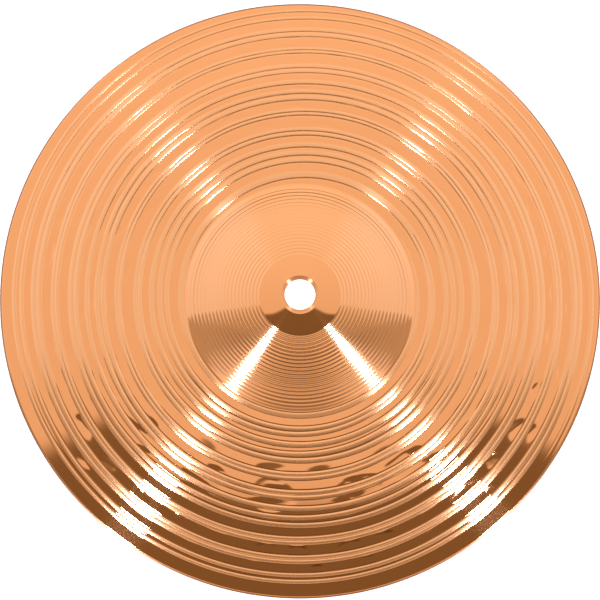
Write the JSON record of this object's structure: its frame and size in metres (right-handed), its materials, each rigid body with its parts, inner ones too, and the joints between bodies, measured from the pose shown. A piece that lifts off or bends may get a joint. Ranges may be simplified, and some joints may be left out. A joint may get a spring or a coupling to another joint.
{
  "type": "splash cymbal",
  "caption": "Thin round cymbal of turned bronze with a domed bell, raised turning rings, hammer marks and a centre hole for a stand.",
  "frame": {"origin": "on the axis, in the plane that the rim rests on", "axes": "+Z along the axis, out of the top of the bell; +X and +Y are alike, because the plate is round"},
  "size_m": [0.254, 0.254, 0.018],
  "materials": {
    "bronze": "polished, turned in rings"
  },
  "bodies": {
    "root": {"cymbal": "bronze"}
  },
  "joints": []
}
